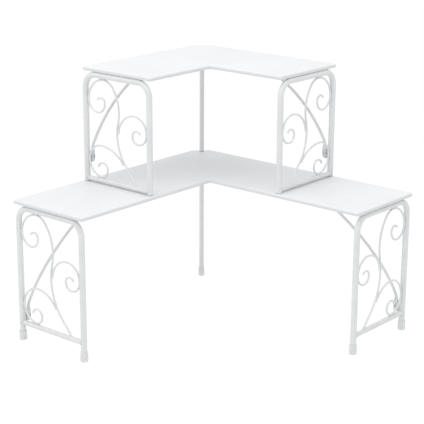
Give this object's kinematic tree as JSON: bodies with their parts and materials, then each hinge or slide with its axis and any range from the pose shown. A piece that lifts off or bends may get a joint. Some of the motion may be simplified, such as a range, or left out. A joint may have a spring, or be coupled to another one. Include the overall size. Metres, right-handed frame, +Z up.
{
  "type": "tiered corner shelf riser",
  "caption": "Stacking corner shelf riser: a small L-shaped shelf standing on a larger one, with scrolled tube end frames, curved braces and round corner posts.",
  "frame": {"origin": "centre of the lower corner foot's base, on the counter under the corner post", "axes": "+Z up; +X along the right arm, parallel to the right-hand wall; -Y along the left arm, parallel to the left-hand wall"},
  "size_m": [0.441, 0.441, 0.415],
  "materials": {
    "board_paint": "smooth satin white lacquer on fibreboard",
    "frame_paint": "satin white powder coat on steel",
    "cap_vinyl": "milky soft vinyl",
    "plug_plastic": "white moulded plastic",
    "zinc_steel": "zinc plated"
  },
  "bodies": {
    "lower_unit": {"lower_board": "board_paint", "lower_brace_bolts": "frame_paint", "lower_brace_nuts": "zinc_steel", "lower_corner_foot_cap": "cap_vinyl", "lower_corner_plate": "frame_paint", "lower_corner_post": "frame_paint", "lower_left_brace": "frame_paint", "lower_left_brace_lug": "frame_paint", "lower_left_crossbar": "frame_paint", "lower_left_front_ear": "frame_paint", "lower_left_front_foot_cap": "cap_vinyl", "lower_left_hoop": "frame_paint", "lower_left_low_scroll": "frame_paint", "lower_left_middle_scroll": "frame_paint", "lower_left_rear_ear": "frame_paint", "lower_left_rear_foot_cap": "cap_vinyl", "lower_left_stem_scroll": "frame_paint", "lower_right_brace": "frame_paint", "lower_right_brace_lug": "frame_paint", "lower_right_crossbar": "frame_paint", "lower_right_front_ear": "frame_paint", "lower_right_front_foot_cap": "cap_vinyl", "lower_right_hoop": "frame_paint", "lower_right_low_scroll": "frame_paint", "lower_right_middle_scroll": "frame_paint", "lower_right_rear_ear": "frame_paint", "lower_right_rear_foot_cap": "cap_vinyl", "lower_right_stem_scroll": "frame_paint", "lower_screws": "zinc_steel"},
    "upper_unit": {"upper_board": "board_paint", "upper_brace_bolts": "frame_paint", "upper_brace_nuts": "zinc_steel", "upper_corner_plate": "frame_paint", "upper_corner_post": "frame_paint", "upper_corner_tube_plug": "plug_plastic", "upper_left_brace": "frame_paint", "upper_left_brace_lug": "frame_paint", "upper_left_crossbar": "frame_paint", "upper_left_front_ear": "frame_paint", "upper_left_front_tube_plug": "plug_plastic", "upper_left_hoop": "frame_paint", "upper_left_low_scroll": "frame_paint", "upper_left_middle_scroll": "frame_paint", "upper_left_rear_ear": "frame_paint", "upper_left_rear_tube_plug": "plug_plastic", "upper_left_stem_scroll": "frame_paint", "upper_right_brace": "frame_paint", "upper_right_brace_lug": "frame_paint", "upper_right_crossbar": "frame_paint", "upper_right_front_ear": "frame_paint", "upper_right_front_tube_plug": "plug_plastic", "upper_right_hoop": "frame_paint", "upper_right_low_scroll": "frame_paint", "upper_right_middle_scroll": "frame_paint", "upper_right_rear_ear": "frame_paint", "upper_right_rear_tube_plug": "plug_plastic", "upper_right_stem_scroll": "frame_paint", "upper_screws": "zinc_steel"}
  },
  "joints": [
    {"name": "lift_off", "type": "slide", "parent": "lower_unit", "child": "upper_unit", "axis": [0, 0, 1], "range_m": [0, 0.25]}
  ]
}
